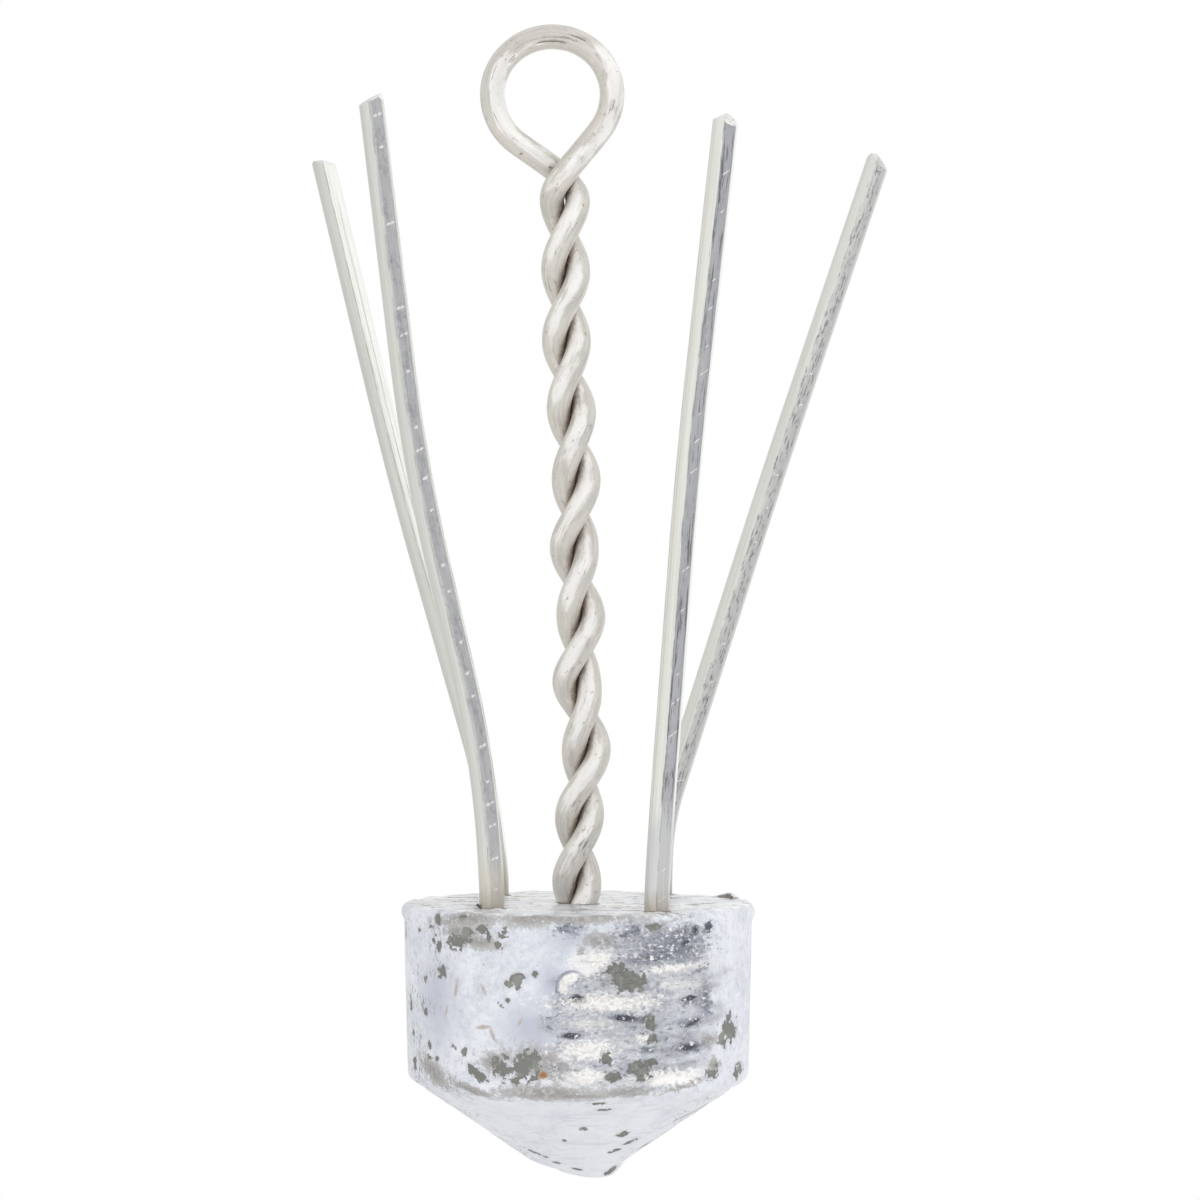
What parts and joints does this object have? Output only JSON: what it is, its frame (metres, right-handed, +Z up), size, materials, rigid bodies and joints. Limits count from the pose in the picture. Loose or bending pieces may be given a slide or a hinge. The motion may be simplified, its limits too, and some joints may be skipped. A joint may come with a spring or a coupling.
{
  "type": "fishing sinker",
  "caption": "Grip sinker: a cast lead weight with a cone nose, a twisted wire stem ending in a line eye, and wire claws that bend outwards by hand to hold the sea bed.",
  "frame": {"origin": "centre of the line eye, the loop that the sinker hangs from", "axes": "+Z up along the stem, from the lead to the eye; +Y through the eye's opening, away from the pictured side; +X to the right as pictured"},
  "size_m": [0.0496, 0.0373, 0.0937],
  "materials": {
    "cast_lead": "matt, cast lead with a pale oxide coat, chips and cold-flow wrinkles",
    "eye_wire": "satin, tinned steel wire, twisted",
    "claw_wire": "bright drawn steel wire with fine lengthwise lines"
  },
  "bodies": {
    "sinker": {"lead_body": "cast_lead", "eye_wire": "eye_wire", "front_left_anchor": "claw_wire", "front_right_anchor": "claw_wire", "back_left_anchor": "claw_wire", "back_right_anchor": "claw_wire"},
    "front_left_claw": {"front_left_claw": "claw_wire"},
    "front_right_claw": {"front_right_claw": "claw_wire"},
    "back_left_claw": {"back_left_claw": "claw_wire"},
    "back_right_claw": {"back_right_claw": "claw_wire"}
  },
  "joints": [
    {"name": "front_left_bend", "type": "hinge", "parent": "sinker", "child": "front_left_claw", "pos_m": [-0.00471, -0.00705, -0.06467], "axis": [0.4226, -0.9063, 0], "range_deg": [-6, 80]},
    {"name": "front_right_bend", "type": "hinge", "parent": "sinker", "child": "front_right_claw", "pos_m": [0.00837, -0.01023, -0.06467], "axis": [0.809, 0.5878, 0], "range_deg": [-6, 80]},
    {"name": "back_left_bend", "type": "hinge", "parent": "sinker", "child": "back_left_claw", "pos_m": [-0.00469, 0.00741, -0.06467], "axis": [-0.5, -0.866, 0], "range_deg": [-6, 80]},
    {"name": "back_right_bend", "type": "hinge", "parent": "sinker", "child": "back_right_claw", "pos_m": [0.00892, 0.00857, -0.06467], "axis": [-0.4384, 0.8988, 0], "range_deg": [-6, 80]}
  ]
}
